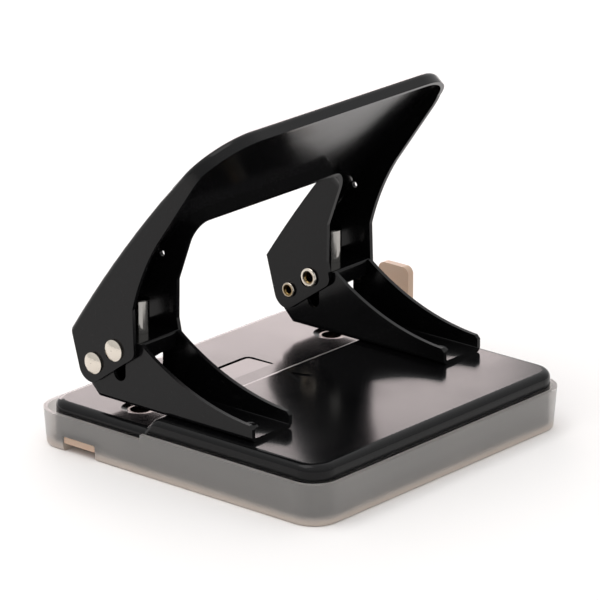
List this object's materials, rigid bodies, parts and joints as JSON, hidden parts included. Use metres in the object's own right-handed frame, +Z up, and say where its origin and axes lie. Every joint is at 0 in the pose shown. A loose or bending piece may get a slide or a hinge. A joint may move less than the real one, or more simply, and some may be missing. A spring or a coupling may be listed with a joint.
{
  "type": "hole punch",
  "caption": "Desk hole punch: a folded steel handle drives sprung punch pins through a stepped base plate, over a translucent chip tray with a sliding paper guide.",
  "frame": {"origin": "middle of the chip tray's footprint, on the table", "axes": "+X along the line of the punched holes, +Y towards the side that takes the paper, +Z up"},
  "size_m": [0.1365, 0.1031, 0.0972],
  "materials": {
    "black_enamel": "semi-gloss black stove enamel",
    "tray_plastic": "translucent frosted moulded plastic",
    "guide_plastic": "beige moulded plastic, satin",
    "hardened_steel": "ground",
    "spring_steel": "bright drawn wire and strip",
    "nickel_rivet": "bright nickel plate"
  },
  "bodies": {
    "tray": {"chip_tray": "tray_plastic"},
    "base": {"base_plate": "black_enamel", "bracket_left": "black_enamel", "bracket_right": "black_enamel", "top_guide_left": "black_enamel", "top_guide_right": "black_enamel", "bracket_rivets": "black_enamel", "die_left": "hardened_steel", "die_right": "hardened_steel", "pivot_rivet_left": "nickel_rivet", "pivot_rivet_right": "nickel_rivet", "spring_left": "spring_steel", "spring_right": "spring_steel"},
    "handle": {"handle": "black_enamel"},
    "punch_left": {"punch_pin_left": "hardened_steel", "drive_rivet_left": "nickel_rivet", "spring_clip_left": "spring_steel"},
    "punch_right": {"punch_pin_right": "hardened_steel", "drive_rivet_right": "nickel_rivet", "spring_clip_right": "spring_steel"},
    "guide": {"paper_guide": "guide_plastic"}
  },
  "joints": [
    {"name": "base_lift", "type": "slide", "parent": "tray", "child": "base", "axis": [0, 0, 1], "range_m": [0, 0.018]},
    {"name": "handle_hinge", "type": "hinge", "parent": "base", "child": "handle", "pos_m": [0, 0.0306, 0.027], "axis": [1, 0, 0], "range_deg": [0, 45], "stiffness_Nm_per_rad": 0.22, "springref_deg": -28.65},
    {"name": "punch_left_slide", "type": "slide", "parent": "base", "child": "punch_left", "axis": [0, 0, -1], "range_m": [0, 0.00662], "deforming": ["spring_left"]},
    {"name": "punch_right_slide", "type": "slide", "parent": "base", "child": "punch_right", "axis": [0, 0, -1], "range_m": [0, 0.00662], "deforming": ["spring_right"]},
    {"name": "guide_slide", "type": "slide", "parent": "tray", "child": "guide", "axis": [1, 0, 0], "range_m": [-0.0264, 0.0678]}
  ],
  "couplings": [
    {"joint": "punch_left_slide", "follows": "handle_hinge", "m_per_rad": 0.008428},
    {"joint": "punch_right_slide", "follows": "handle_hinge", "m_per_rad": 0.008428}
  ]
}
